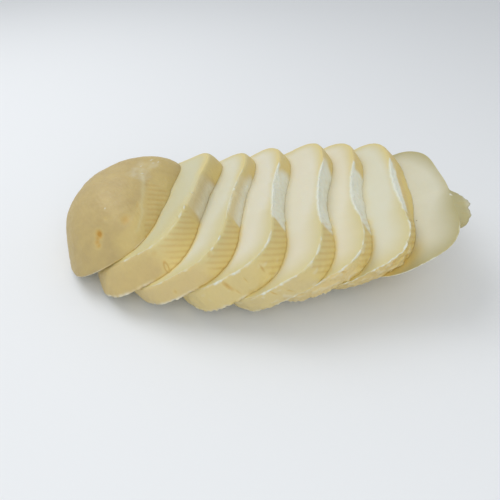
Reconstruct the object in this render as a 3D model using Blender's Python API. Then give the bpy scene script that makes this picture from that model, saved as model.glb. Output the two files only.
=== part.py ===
"""A small round butter cheese, laid on its side, cut in eight and fanned out in one leaning row.

The wheel was cut from side to side by seven nearly parallel cuts, and the pieces then slid down
like tipped-over books: each leans on the next one to its right, and its lower edge stands on the
board. The row runs along X, the wheel's own depth along Y, and the origin lies on the board under
the middle of the row. Left of a cut is the piece above it, right of it the piece below.
"""
import math

import bmesh
import bpy
import numpy as np
from mathutils import Matrix, Vector

MM = 0.001

# The cuts. Each cut is a plane that leans away from the left and is turned a little on the board.
LEAN = math.radians(58.9)            # from upright, towards the right
ROW_TURN = math.radians(-4.6)        # the row runs slightly towards the front
CUT_TURNS_DEG = (-5.8, -7.0, -5.5, -3.1, -4.3, -4.5, -5.8)
FIRST_CUT_MM = (-73.01, 5.09, 18.7)  # middle of the left heel's cut face
SLICES_MM = (12.7, 10.4, 11.9, 11.7, 10.4, 11.4)            # thickness of slices 2 to 7
SLID_UP_MM = (18.7, 17.0, 17.8, 20.0, 14.5, 18.1, 19.1)     # next piece, up the cut
SLID_BACK_MM = (-0.8, -0.6, 1.4, -0.5, 4.1, 2.7, -1.3)      # next piece, along the cut
SPUN_DEG = (4.8, -0.3, -2.2, 2.2, -1.1, -2.2, -4.5)         # next piece, round in the cut
GAP_MM = 0.3

# The section of the wheel in a cut. It is a long rounded outline, dished on both flat sides.
HALF_DEPTH_MM = 56.9                 # at the fullest cut
FULLEST_AT_MM = 42.1                 # from the first cut
DEPTH_LOST_MM = 12.9                 # at the first cut
HALF_HEIGHT_MM = 36.5
SET_BACK_MM = (-1.5, -3.9, -1.8, -1.5, 1.0, 1.9, 2.6)       # middle of the outline, along the cut
SET_UP_MM = (-3.5, 3.6)              # middle of the outline, up the cut, at first and last cut
DISHED = (0.80, 1.12, 1.14, 1.23, 1.37, 1.15, 0.72)         # how strongly each cut shows the dish
# Waves of the outline's radius: times round, share on the cosine, share on the sine.
DISH_WAVES = ((2, 0.160, 0.050), (4, -0.067, -0.005))
OTHER_WAVES = ((3, 0.016, 0.016), (5, 0.002, 0.0), (6, -0.006, -0.020), (7, -0.006, -0.026))
# Where a cut's outline stands fuller or slimmer: angle, width of the place, millimetres.
UNEVEN = {0: (225.0, 18.0, -2.3), 6: (66.0, 22.0, 1.8)}

# The rind between two cuts.
BELLY_MM = 0.5                       # how far the rind swells between its two edges
CRUMB_MM = 0.35                      # how far the broken edge is set in
EDGE_MM = 0.8                        # width of that edge
RIB_PITCH_DEG = 4.2                  # the mould's ribs, by angle round the section
RIB_ZONE_DEG = (104.0, 150.0)
RIB_HEIGHT_MM = 0.35
RIBS_END_SHARE = 0.45                # on a dome the ribs end at this share of the way up
LUMP_MM = 0.3                        # slow unevenness of the rind

# The heels.
DOME_SHARES = (0.04, 0.14, 0.26, 0.38, 0.51, 0.65, 0.80, 0.92)  # of the quarter turn to the crown
LEFT_DOME_MM = 28.4
LEFT_DRIFT_MM = (-6.7, 10.5)         # crown up the cut, belly up the cut
LEFT_FLARE_MM = -2.2
LEFT_SHOULDERS = (0.69, 0.56, 0.46)  # steepness at the rim: ends, low side, high side; 0.5 is round
RIGHT_DOME_MM = 24.4
RIGHT_SHOULDERS = (1.10, 0.60, 1.00)
FLAP_MM = 8.5                        # ragged rind that stands past the right heel's edge
FLAP_AT_DEG = 117.0
FLAP_HALF_DEG = 18.5
FLAP_ROOT_MM = 3.0                   # where its reach is less than this, it runs into the dome
# The flap's rings: below the cut face, share of the flap's reach, and how far it is set in.
FLAP_RINGS = ((1.0, 0.25, 0.0), (3.8, 1.0, 0.0), (5.4, 0.80, 0.6), (7.0, 0.10, 2.5))
FLAP_TEAR_POINTS = 9                 # how many points one tear of its edge takes
FLAP_TEARS = 0.3                     # how much its reach changes at a tear

# Marks in the left heel's rind: angle round the section, share of the way to the crown, half
# length, half width and depth in millimetres, and the turn of the length from level.
MARKS = ((166.0, 0.41, 1.9, 1.5, 1.3, 0.0),
         (172.0, 0.31, 3.2, 1.2, 0.9, 80.0),
         (140.0, 0.31, 3.0, 2.2, 0.8, 20.0),
         (154.0, 0.46, 1.5, 1.1, 0.5, 60.0))

AROUND = 100                         # points round a section
SEED = 7

RIND = ((0.52, 0.40, 0.19), 0.5)
PASTE = ((0.70, 0.65, 0.47), 0.45)


def around_angles():
    """Angles round the section, closer together in the ribbed zone."""
    low, high = (math.radians(v) for v in RIB_ZONE_DEG)
    ribs = (RIB_ZONE_DEG[1] - RIB_ZONE_DEG[0]) / RIB_PITCH_DEG
    fine = int(round(4 * ribs))
    ribbed = np.linspace(low, high, fine, endpoint=False)
    plain = np.linspace(high, low + 2 * math.pi, AROUND - fine, endpoint=False)
    return np.concatenate([ribbed, plain])


def cut_axes(turn):
    """Upward normal of a cut, its level direction (to the back) and its uphill direction."""
    normal = np.array([-math.cos(LEAN) * math.cos(turn), -math.cos(LEAN) * math.sin(turn), math.sin(LEAN)])
    level = np.array([-math.sin(turn), math.cos(turn), 0.0])
    uphill = np.array([math.sin(LEAN) * math.cos(turn), math.sin(LEAN) * math.sin(turn), math.cos(LEAN)])
    return normal, level, uphill


def cut_frames():
    """For each cut: the middles of the faces above and below it, and the cut's three axes."""
    row_normal = cut_axes(ROW_TURN)[0]
    middle = np.array(FIRST_CUT_MM)
    frames = []
    for cut, turn_deg in enumerate(CUT_TURNS_DEG):
        normal, level, uphill = cut_axes(math.radians(turn_deg))
        below = middle + SLID_BACK_MM[cut] * level + SLID_UP_MM[cut] * uphill
        frames.append((middle, below, normal, level, uphill))
        if cut < len(SLICES_MM):
            middle = below - SLICES_MM[cut] * row_normal
    return frames


def section(cut, angles):
    """Outline of the wheel in a cut: level and uphill distances, by angle from the back."""
    along = np.concatenate([[0.0], np.cumsum(SLICES_MM)])
    radius = np.ones_like(angles)
    for times, cosine, sine in DISH_WAVES:
        radius += DISHED[cut] * (cosine * np.cos(times * angles) + sine * np.sin(times * angles))
    for times, cosine, sine in OTHER_WAVES:
        radius += cosine * np.cos(times * angles) + sine * np.sin(times * angles)
    off = (along[cut] - FULLEST_AT_MM) / FULLEST_AT_MM
    half_depth = HALF_DEPTH_MM - DEPTH_LOST_MM * off ** 2
    set_up = SET_UP_MM[0] + (SET_UP_MM[1] - SET_UP_MM[0]) * along[cut] / along[-1]
    level = half_depth * radius * np.cos(angles) + SET_BACK_MM[cut]
    uphill = HALF_HEIGHT_MM * radius * np.sin(angles) + set_up
    if cut in UNEVEN:
        at_deg, width_deg, amount = UNEVEN[cut]
        away = np.angle(np.exp(1j * (angles - math.radians(at_deg)))) / math.radians(width_deg)
        grown = 1 + amount * np.exp(-away ** 2) / np.hypot(level, uphill)
        return level * grown, uphill * grown
    return level, uphill


def face_outline(cut, angles, is_below):
    """Outline of the face on one side of a cut, in space, and its middle."""
    middle_above, middle_below, normal, level_axis, uphill_axis = cut_frames()[cut]
    level, uphill = section(cut, angles)
    middle = middle_above + 0.5 * GAP_MM * normal
    if is_below:
        spin = math.radians(SPUN_DEG[cut])
        level, uphill = (math.cos(spin) * level - math.sin(spin) * uphill,
                         math.sin(spin) * level + math.cos(spin) * uphill)
        middle = middle_below - 0.5 * GAP_MM * normal
    return middle + np.outer(level, level_axis) + np.outer(uphill, uphill_axis), middle


def zone(angles, limits_deg, soft_deg=5.0):
    """One inside an angular zone, falling to nothing over a soft margin at its ends."""
    low, high = (math.radians(v) for v in limits_deg)
    soft = math.radians(soft_deg)
    rise = np.clip((angles - low) / soft, 0, 1)
    fall = np.clip((high - angles) / soft, 0, 1)
    return np.minimum(rise, fall)


def rib_relief(angles):
    """Height of the mould's ribs, which run across the slices."""
    first = math.radians(RIB_ZONE_DEG[0])
    turns = (angles - first) / math.radians(RIB_PITCH_DEG)
    return RIB_HEIGHT_MM * np.sin(2 * math.pi * turns) * zone(angles, RIB_ZONE_DEG)


def lumps(angles, draw):
    """Slow seeded unevenness of a ring."""
    relief = np.zeros_like(angles)
    for times in (3, 5, 8, 13):
        relief += draw.uniform(-1, 1) * np.sin(times * angles + draw.uniform(0, 2 * math.pi)) / times
    return 2.0 * LUMP_MM * relief


def push_out(ring, middle, amount):
    """Moves a ring's points away from its middle by an amount each."""
    arm = ring - middle
    return ring + arm / np.linalg.norm(arm, axis=1, keepdims=True) * amount[:, None]


def slice_rings(number, angles, draw):
    """Rings of a slice's rind from its upper face to its lower face, and both faces' middles."""
    top, top_middle = face_outline(number - 2, angles, True)
    bottom, bottom_middle = face_outline(number - 1, angles, False)
    edge = EDGE_MM / SLICES_MM[number - 2]
    rough = lumps(angles, draw)
    rings = []
    for share in (0.0, edge, 0.5, 1.0 - edge, 1.0):
        ring = (1 - share) * top + share * bottom
        middle = (1 - share) * top_middle + share * bottom_middle
        if share in (0.0, 1.0):
            swell = -CRUMB_MM * draw.uniform(0.3, 1.0, len(angles))
        else:
            swell = BELLY_MM * 4 * share * (1 - share) + rib_relief(angles) + rough
        rings.append(push_out(ring, middle, swell))
    return rings, top_middle, bottom_middle


def dome_ring(cut, angles, is_below, share, height, shoulders, drift, flare):
    """One ring of a heel's dome, at a share of the quarter turn from its rim to its crown.

    A point stands cos(share) of the outline out, and sin(share)^(2 e) of the dome's height up,
    where the steepness e goes from the ends' to the low or high side's value round the section.
    """
    rim, middle = face_outline(cut, angles, is_below)
    normal, _, uphill_axis = cut_frames()[cut][2:]
    up = -normal if is_below else normal
    ends, low, high = shoulders
    side = np.where(np.sin(angles) > 0, high, low)
    power = ends * np.cos(angles) ** 2 + side * np.sin(angles) ** 2
    out = np.cos(share * math.pi / 2)
    lift = np.sin(share * math.pi / 2) ** (2 * power)
    arm = rim - middle
    spread = out * (1 + flare * np.sin(math.pi * lift) / np.linalg.norm(arm, axis=1))
    rise = np.outer(drift[0] * lift + drift[1] * lift * (1 - lift), uphill_axis)
    return middle + arm * spread[:, None] + rise + np.outer(height * lift, up)


def left_dome(angles, share):
    """One ring of the left heel's dome."""
    return dome_ring(0, angles, False, share, LEFT_DOME_MM, LEFT_SHOULDERS, LEFT_DRIFT_MM, LEFT_FLARE_MM)


def right_dome(angles, share):
    """One ring of the right heel's dome."""
    last_cut = len(CUT_TURNS_DEG) - 1
    return dome_ring(last_cut, angles, True, share, RIGHT_DOME_MM, RIGHT_SHOULDERS, (0.0, 0.0), 0.0)


def roughened(rings, middle, angles, draw):
    """Sets in the broken rim of a dome and gives the rings above it ribs and lumps."""
    ribs = rib_relief(angles)
    slow = lumps(angles, draw)
    rough = [push_out(rings[0], middle, -CRUMB_MM * draw.uniform(0.3, 1.0, len(angles)))]
    for share, ring in zip(DOME_SHARES, rings[1:]):
        rib_fade = max(0.0, 1 - share / RIBS_END_SHARE)
        rough.append(push_out(ring, middle, ribs * rib_fade + slow * (1 - share)))
    return rough


def with_flap(rings, angles, draw):
    """Adds the torn lip of rind that hangs out under the right heel's uphill edge."""
    cut = len(CUT_TURNS_DEG) - 1
    normal = cut_frames()[cut][2]
    rim, middle = face_outline(cut, angles, True)
    blur = np.hanning(FLAP_TEAR_POINTS + 2)[1:-1]
    ragged = np.convolve(draw.uniform(-1, 1, len(angles) + len(blur) - 1), blur / blur.sum(), "valid")
    away = (angles - math.radians(FLAP_AT_DEG)) / math.radians(FLAP_HALF_DEG)
    reach = FLAP_MM * (1 + FLAP_TEARS * ragged) * np.clip(1 - away ** 2, 0, 1)
    amount = np.clip(reach / FLAP_ROOT_MM, 0, 1)[:, None]
    lip = []
    for ring, (drop, share, set_in) in zip(rings[1:1 + len(FLAP_RINGS)], FLAP_RINGS):
        flap = push_out(rim - normal * drop, middle, reach * share - set_in)
        lip.append((1 - amount) * ring + amount * flap)
    return [rings[0]] + lip + rings[1 + len(FLAP_RINGS):]


def pressed_flat(rings):
    """The soft foot of a piece, flat where it stands on the board."""
    return [np.column_stack([ring[:, :2], np.maximum(ring[:, 2], 0.0)]) for ring in rings]


def lofted(name, rings, first_pole, last_pole, material_at, collection):
    """A closed body through rings, with a fan to a point at each end. This is a loft by hand."""
    count = len(rings[0])
    mesh = bpy.data.meshes.new(name)
    model = bmesh.new()
    rows = [[model.verts.new(point * MM) for point in ring] for ring in rings]
    poles = [model.verts.new(np.array(pole) * MM) for pole in (first_pole, last_pole)]
    for row, (here, there) in enumerate(zip(rows, rows[1:])):
        for i in range(count):
            k = (i + 1) % count
            face = model.faces.new((here[i], here[k], there[k], there[i]))
            face.material_index = material_at(row)
    for pole, ring, place in ((poles[0], rows[0], -1), (poles[1], rows[-1], len(rows) - 1)):
        for i in range(count):
            face = model.faces.new((pole, ring[i], ring[(i + 1) % count]))
            face.material_index = material_at(place)
    bmesh.ops.triangulate(model, faces=model.faces)
    bmesh.ops.recalc_face_normals(model, faces=model.faces)
    if model.calc_volume(signed=True) < 0:
        bmesh.ops.reverse_faces(model, faces=model.faces)
    model.to_mesh(mesh)
    model.free()
    body = bpy.data.objects.new(name, mesh)
    collection.objects.link(body)
    mesh.shade_smooth()
    mesh.set_sharp_from_angle(angle=math.radians(40))
    return body


def principled(name, colour, roughness):
    """A plain Principled material."""
    material = bpy.data.materials.new(name)
    material.use_nodes = True
    shader = material.node_tree.nodes["Principled BSDF"]
    shader.inputs["Base Color"].default_value = (*colour, 1.0)
    shader.inputs["Roughness"].default_value = roughness
    shader.inputs["Metallic"].default_value = 0.0
    return material


def cheese_materials(body, name):
    """Gives a piece its own rind and paste."""
    body.data.materials.append(principled(name + "_rind", *RIND))
    body.data.materials.append(principled(name + "_paste", *PASTE))


def build_slice(number, angles, collection, draw):
    """One of the slices between two cuts."""
    rings, top_middle, bottom_middle = slice_rings(number, angles, draw)
    name = "slice_%d" % number
    last = len(rings) - 1
    body = lofted(name, pressed_flat(rings), top_middle, bottom_middle,
                  lambda row: int(row in (-1, last)), collection)
    cheese_materials(body, name)
    return body


def mark_cutter(number, mark, cutters):
    """A flat ball that is sunk into the left heel's dome, to cut one of its marks."""
    angle_deg, share, half_length, half_width, depth, turn_deg = mark
    angle = math.radians(angle_deg)
    step = 0.02
    here, beside = left_dome(np.array([angle, angle + step]), share)
    above = left_dome(np.array([angle]), share + step)[0]
    outward = Vector(np.cross(above - here, beside - here)).normalized()
    if outward.dot(Vector(here - face_outline(0, np.array([angle]), False)[1])) < 0:
        outward = -outward
    level = outward.cross(Vector((0.0, 0.0, 1.0))).cross(outward).cross(outward).normalized()
    model = bmesh.new()
    bmesh.ops.create_uvsphere(model, u_segments=12, v_segments=8, radius=1.0)
    bmesh.ops.scale(model, vec=Vector((half_length, half_width, depth)) * MM, verts=model.verts)
    name = "mark_cutter_%d" % number
    mesh = bpy.data.meshes.new(name)
    model.to_mesh(mesh)
    model.free()
    cutter = bpy.data.objects.new(name, mesh)
    basis = Matrix((level, outward.cross(level), outward)).transposed()
    spin = Matrix.Rotation(math.radians(turn_deg), 3, "Z")
    cutter.matrix_world = Matrix.Translation(Vector(here) * MM) @ (basis @ spin).to_4x4()
    cutter.hide_render = True
    cutter.display_type = "WIRE"
    cutters.objects.link(cutter)
    return cutter


def build_left_heel(angles, collection, cutters, draw):
    """The left heel, with its whole dome of rind up and the marks in it."""
    rim, middle = face_outline(0, angles, False)
    rings = roughened([rim] + [left_dome(angles, share) for share in DOME_SHARES], middle, angles, draw)
    crown = left_dome(angles[:1], 1.0)[0]
    body = lofted("left_heel", pressed_flat(rings), middle, crown,
                  lambda row: int(row == -1), collection)
    cheese_materials(body, "left_heel")
    for number, mark in enumerate(MARKS, start=1):
        cut = body.modifiers.new("mark_%d" % number, "BOOLEAN")
        cut.operation = "DIFFERENCE"
        cut.object = mark_cutter(number, mark, cutters)
    return body


def build_right_heel(angles, collection, draw):
    """The right heel, cut face up, with its ragged flap of rind."""
    rim, middle = face_outline(len(CUT_TURNS_DEG) - 1, angles, True)
    rings = roughened([rim] + [right_dome(angles, share) for share in DOME_SHARES], middle, angles, draw)
    rings = with_flap(rings, angles, draw)
    crown = right_dome(angles[:1], 1.0)[0]
    body = lofted("right_heel", pressed_flat(rings), middle, crown,
                  lambda row: int(row == -1), collection)
    cheese_materials(body, "right_heel")
    return body


def main():
    """Builds the eight pieces."""
    for old in list(bpy.data.objects):
        bpy.data.objects.remove(old, do_unlink=True)
    collection = bpy.data.collections.new("butter_cheese")
    cutters = bpy.data.collections.new("cutters")
    for group in (collection, cutters):
        bpy.context.scene.collection.children.link(group)
    draw = np.random.default_rng(SEED)
    angles = around_angles()
    build_left_heel(angles, collection, cutters, draw)
    for number in range(2, len(SLICES_MM) + 2):
        build_slice(number, angles, collection, draw)
    build_right_heel(angles, collection, draw)


main()
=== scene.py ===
# %% [markdown]
# A small round butter cheese, cut in eight and fanned out in one leaning row.
#
# The solids from the CAD model hold the sizes and the places. This lesson dresses them: each piece
# of cheese gets a fine surface of its own, worked out as a grid of points with numpy, and each
# surface carries masks that tell its material where the rind is ribbed, dry, torn or dented.

# %% Load the frame
import math

import bpy
import numpy as np
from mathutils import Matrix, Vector


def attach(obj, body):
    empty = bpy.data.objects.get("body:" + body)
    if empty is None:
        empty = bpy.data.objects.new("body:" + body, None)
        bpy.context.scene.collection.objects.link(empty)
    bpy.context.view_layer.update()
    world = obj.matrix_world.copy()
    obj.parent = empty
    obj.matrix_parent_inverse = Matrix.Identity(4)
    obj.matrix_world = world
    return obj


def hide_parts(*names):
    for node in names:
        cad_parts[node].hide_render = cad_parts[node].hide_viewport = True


MM = 0.001
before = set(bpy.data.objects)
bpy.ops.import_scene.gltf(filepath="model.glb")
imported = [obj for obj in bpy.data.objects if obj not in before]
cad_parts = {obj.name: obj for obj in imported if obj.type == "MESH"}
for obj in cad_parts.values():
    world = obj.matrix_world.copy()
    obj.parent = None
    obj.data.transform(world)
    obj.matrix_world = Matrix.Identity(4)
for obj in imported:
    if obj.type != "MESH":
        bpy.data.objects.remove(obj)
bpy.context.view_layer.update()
print("pieces in the frame:", sorted(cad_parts))

# %% [markdown]
# The camera comes first, because every later choice is judged through it. The cheese was seen from
# a little above, as someone sitting at the table sees a plate, with a wide lens close by.

# %% Camera
CAMERA_TARGET_MM = Vector((-5.41, -4.51, -0.3))
CAMERA_DISTANCE_MM = 273.7
CAMERA_ELEVATION = math.radians(39.0)
FOCAL_SHARE = 466.3 / 500.0          # focal length as a share of the picture's width


def make_camera():
    """The camera looks along +Y and down, so its place is the target plus the distance backwards."""
    data = bpy.data.cameras.new("camera")
    data.lens = FOCAL_SHARE * data.sensor_width
    data.clip_start = 0.01
    camera = bpy.data.objects.new("camera", data)
    back = Vector((0.0, -math.cos(CAMERA_ELEVATION), math.sin(CAMERA_ELEVATION)))
    camera.location = (CAMERA_TARGET_MM + back * CAMERA_DISTANCE_MM) * MM
    camera.rotation_euler = (-back).to_track_quat("-Z", "Y").to_euler()
    bpy.context.scene.collection.objects.link(camera)
    bpy.context.scene.camera = camera


make_camera()

# %% [markdown]
# The wheel of cheese is described by its cuts. Every cut is a leaning plane, and in it lies the
# same long rounded outline, dished on both flat sides. An outline could be drawn as a curve, but
# a radius made of a few cosine waves closes smoothly by itself and needs only a handful of numbers.
# These sizes are those of the CAD model, so that the fine surfaces lie on the solids. Only the
# right heel departs from it: its rim has one slimmer place, and its flap is a little shorter.

# %% Sizes of the wheel and its cuts, in millimetres
LEAN = math.radians(58.9)
ROW_TURN = math.radians(-4.6)
CUT_TURNS_DEG = (-5.8, -7.0, -5.5, -3.1, -4.3, -4.5, -5.8)
FIRST_CUT_MM = (-73.01, 5.09, 18.7)
SLICES_MM = (12.7, 10.4, 11.9, 11.7, 10.4, 11.4)
SLID_UP_MM = (18.7, 17.0, 17.8, 20.0, 14.5, 18.1, 19.1)
SLID_BACK_MM = (-0.8, -0.6, 1.4, -0.5, 4.1, 2.7, -1.3)
SPUN_DEG = (4.8, -0.3, -2.2, 2.2, -1.1, -2.2, -4.5)
GAP_MM = 0.3
LAST_CUT = len(CUT_TURNS_DEG) - 1

HALF_DEPTH_MM = 56.9
FULLEST_AT_MM = 42.1                  # along the row from the first cut
DEPTH_LOST_MM = 12.9
HALF_HEIGHT_MM = 36.5
SET_BACK_MM = (-1.5, -3.9, -1.8, -1.5, 1.0, 1.9, 2.6)
SET_UP_MM = (-3.5, 3.6)               # in the first cut and in the last
DISHED = (0.80, 1.12, 1.14, 1.23, 1.37, 1.15, 0.72)
# Waves of the outline: times round, cosine part, sine part.
DISH_WAVES = ((2, 0.160, 0.050), (4, -0.067, -0.005))
OTHER_WAVES = ((3, 0.016, 0.016), (5, 0.002, 0.0), (6, -0.006, -0.020), (7, -0.006, -0.026))
# Fuller and slimmer places in a cut: angle, width in degrees, millimetres added.
UNEVEN = {0: (225.0, 18.0, -2.3), 6: (66.0, 22.0, 1.8)}
HEEL_SLIMMER = (38.0, 13.0, 1.7)      # only on this fine surface, in millimetres taken off the rim

LEFT_DOME_MM = 28.4
LEFT_DRIFT_MM = (-6.7, 10.5)
LEFT_FLARE_MM = -2.2
LEFT_SHOULDERS = (0.69, 0.56, 0.46)
RIGHT_DOME_MM = 24.4
RIGHT_SHOULDERS = (1.10, 0.60, 1.00)

AROUND = 720                          # points round a section
ANGLES = np.linspace(0.0, 2 * math.pi, AROUND, endpoint=False)
DEGREES = np.degrees(ANGLES)


# %% The outline of the wheel in a cut
def cut_axes(turn):
    """Upward normal of a cut, its level direction (to the back) and its uphill direction."""
    normal = np.array([-math.cos(LEAN) * math.cos(turn), -math.cos(LEAN) * math.sin(turn), math.sin(LEAN)])
    level = np.array([-math.sin(turn), math.cos(turn), 0.0])
    uphill = np.array([math.sin(LEAN) * math.cos(turn), math.sin(LEAN) * math.sin(turn), math.cos(LEAN)])
    return normal, level, uphill


def cut_frames():
    """Each cut's middles above and below it, and its axes: every piece slides up and along its cut."""
    row_normal = cut_axes(ROW_TURN)[0]
    middle = np.array(FIRST_CUT_MM)
    frames = []
    for cut, turn_deg in enumerate(CUT_TURNS_DEG):
        normal, level, uphill = cut_axes(math.radians(turn_deg))
        below = middle + SLID_BACK_MM[cut] * level + SLID_UP_MM[cut] * uphill
        frames.append((middle, below, normal, level, uphill))
        if cut < len(SLICES_MM):
            middle = below - SLICES_MM[cut] * row_normal
    return frames


CUTS = cut_frames()


def section(cut):
    """Radius 1 plus waves; half depth times its cosine part and half height times its sine part.

    A fuller or slimmer place is added along the arm: amount x exp(-(angle away / width)^2).
    """
    along = np.concatenate([[0.0], np.cumsum(SLICES_MM)])
    radius = np.ones(AROUND)
    for times, cosine, sine in DISH_WAVES:
        radius += DISHED[cut] * (cosine * np.cos(times * ANGLES) + sine * np.sin(times * ANGLES))
    for times, cosine, sine in OTHER_WAVES:
        radius += cosine * np.cos(times * ANGLES) + sine * np.sin(times * ANGLES)
    off = (along[cut] - FULLEST_AT_MM) / FULLEST_AT_MM
    half_depth = HALF_DEPTH_MM - DEPTH_LOST_MM * off ** 2
    set_up = SET_UP_MM[0] + (SET_UP_MM[1] - SET_UP_MM[0]) * along[cut] / along[-1]
    level = half_depth * radius * np.cos(ANGLES) + SET_BACK_MM[cut]
    uphill = HALF_HEIGHT_MM * radius * np.sin(ANGLES) + set_up
    if cut in UNEVEN:
        at_deg, width_deg, amount = UNEVEN[cut]
        away = np.angle(np.exp(1j * (ANGLES - math.radians(at_deg)))) / math.radians(width_deg)
        grown = 1 + amount * np.exp(-away ** 2) / np.hypot(level, uphill)
        return level * grown, uphill * grown
    return level, uphill


def face_outline(cut, is_below):
    """The outline in space: middle + level distance x level axis + uphill distance x uphill axis."""
    middle_above, middle_below, normal, level_axis, uphill_axis = CUTS[cut]
    level, uphill = section(cut)
    middle = middle_above + 0.5 * GAP_MM * normal
    if is_below:
        spin = math.radians(SPUN_DEG[cut])
        level, uphill = (math.cos(spin) * level - math.sin(spin) * uphill,
                         math.sin(spin) * level + math.cos(spin) * uphill)
        middle = middle_below - 0.5 * GAP_MM * normal
    if is_below and cut == LAST_CUT:
        at_deg, width_deg, less = HEEL_SLIMMER
        shrunk = 1 - less * np.exp(-((DEGREES - at_deg) / width_deg) ** 2) / np.hypot(level, uphill)
        level, uphill = level * shrunk, uphill * shrunk
    return middle + np.outer(level, level_axis) + np.outer(uphill, uphill_axis), middle


# %% [markdown]
# Nothing on a torn, pressed and handled cheese is even. Two kinds of seeded unevenness do all of
# it: a sum of plane waves in space for slow lumps, which has no seam anywhere, and blurred random
# numbers on a ring for the fine tears along a cut edge.

# %% Unevenness and masks
RANDOM = np.random.default_rng(11)


def lumpy(points, wavelength_mm, waves=22):
    """Sum of sines of (direction . point / wavelength) with random directions and phases, about -1 to 1."""
    directions = RANDOM.normal(size=(waves, 3))
    directions /= np.linalg.norm(directions, axis=1, keepdims=True)
    phases = RANDOM.uniform(0, 2 * math.pi, waves)
    lengths = wavelength_mm * RANDOM.uniform(0.7, 1.4, waves)
    turns = points @ (directions * (2 * math.pi / lengths)[:, None]).T + phases
    return np.sin(turns).sum(axis=-1) / math.sqrt(waves)


def torn(rows, blur_around, blur_across=1.0):
    """Random numbers on a ring's rows, blurred in Fourier space by a Gaussian; spread 1, closed round."""
    noise = RANDOM.normal(size=(rows, AROUND))
    across = np.fft.fftfreq(rows)[:, None] * blur_across
    around = np.fft.fftfreq(AROUND)[None, :] * blur_around
    keep = np.exp(-2 * math.pi ** 2 * (across ** 2 + around ** 2))
    smooth = np.fft.ifft2(np.fft.fft2(noise) * keep).real
    return smooth / smooth.std()


def band(values, low, high, soft):
    """One between two limits, falling to nothing over a soft margin outside each."""
    rise = np.clip((values - low) / soft + 1, 0, 1)
    fall = np.clip((high - values) / soft + 1, 0, 1)
    both = np.minimum(rise, fall)
    return both * both * (3 - 2 * both)


def bell(values, width):
    """One in the middle and falling off on both sides: exp(-(value / width)^2)."""
    return np.exp(-(values / width) ** 2)


# Zones round a section, in degrees from the back over the uphill side: start, end, soft margin.
ZONES = {
    "waxy front": (128.0, 188.0, 36.0), "waxy back": (5.0, 45.0, 30.0),
    "stronger front": (122.0, 195.0, 30.0), "stronger back": (0.0, 50.0, 25.0),
    "waxy shoulder": (118.0, 150.0, 12.0), "waxy saddle": (30.0, 118.0, 20.0),
    "tan top": (8.0, 60.0, 14.0), "torn back": (250.0, 330.0, 30.0), "dashed": (122.0, 215.0, 10.0),
    "crease": (120.0, 176.0, 10.0), "ribbed": (121.0, 147.0, 6.0), "free edge": (172.0, 250.0, 10.0),
    "gold shoulder": (119.0, 150.0, 9.0), "gold top": (14.0, 58.0, 9.0),
    "gold crease": (126.0, 176.0, 8.0), "gold strip": (66.0, 130.0, 9.0),
    "crumbly": (144.0, 215.0, 10.0), "flaky": (64.0, 116.0, 8.0), "ragged": (166.0, 235.0, 10.0),
    "settled": (20.0, 215.0, 10.0),
    "heel ribs": (90.0, 136.0, 9.0), "heel streak": (72.0, 134.0, 12.0),
    "heel blotch": (58.0, 88.0, 9.0), "heel free edge": (176.0, 245.0, 14.0),
    "heel pale rim": (118.0, 150.0, 10.0), "heel gold": (70.0, 150.0, 14.0),
    "heel gold top": (15.0, 62.0, 14.0), "heel crease": (124.0, 178.0, 8.0),
    "heel ragged": (185.0, 240.0, 12.0), "heel settled": (20.0, 200.0, 10.0),
}


def zone(degrees, name):
    """One inside a named zone of the section, and nothing beyond its margin."""
    return band(degrees, *ZONES[name])


SMALL_PATCH = (2, 3)                  # slices whose dry patch is small and lies low


# %% [markdown]
# The mould has pressed fine parallel ribs into one shoulder of the rind. On every piece they lie in
# parallel planes that rise gently to the front. So the ribs are best worked out in space:
# a wave of the distance along the planes' normal. The dished middle carries a finer
# print of the same cloth at another slant, which shows only where the rind has dried.

# %% Ribs
RIB_NORMAL = np.array([-0.03, 0.629, 0.777])
RIB_SPACING_MM = 2.85
RIB_DEPTH_MM = 0.16
RIB_SHARPNESS = 1.6                   # a power that keeps the grooves narrower than the ribs
RIB_START_MM = {1: 33.9, 2: 11.7, 3: 6.1, 4: 6.1, 5: 3.2, 6: 2.0, 7: 1.0, 8: 0.5}
CLOTH_NORMAL = np.array([0.33, 0.594, 0.733])
CLOTH_SPACING_MM = 2.7
CLOTH_DEPTH_MM = 0.05
CLOTH_START_MM = 29.05


def ribs(points, number):
    """Groove depth from 0 on a rib to 1 in a groove: a power of a cosine of the distance from a plane."""
    turns = (points @ RIB_NORMAL - RIB_START_MM[number]) / RIB_SPACING_MM
    return (0.5 + 0.5 * np.cos(2 * math.pi * turns)) ** RIB_SHARPNESS


def cloth(points):
    """The finer print of the cloth on the dried middle, as a cosine of another set of planes."""
    return 0.5 + 0.5 * np.cos(2 * math.pi * (points @ CLOTH_NORMAL - CLOTH_START_MM) / CLOTH_SPACING_MM)


# %% [markdown]
# A closed skin for a piece is a stack of rings: it starts in the middle of the upper face, spreads
# to the rim, goes down the rind and closes in the middle of the lower face. Rings with the same
# number of points make clean quads, and a fan of triangles closes each end.

# %% From rings to a mesh
UPPER_SHARES = np.array([0.08, 0.20, 0.32, 0.43, 0.53, 0.61, 0.67, 0.72, 0.765, 0.805, 0.84, 0.87,
                         0.895, 0.917, 0.936, 0.952, 0.965, 0.975, 0.983, 0.990, 0.996])
LOWER_SHARES = np.array([0.985, 0.95, 0.88, 0.76, 0.58, 0.36, 0.14])


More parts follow.
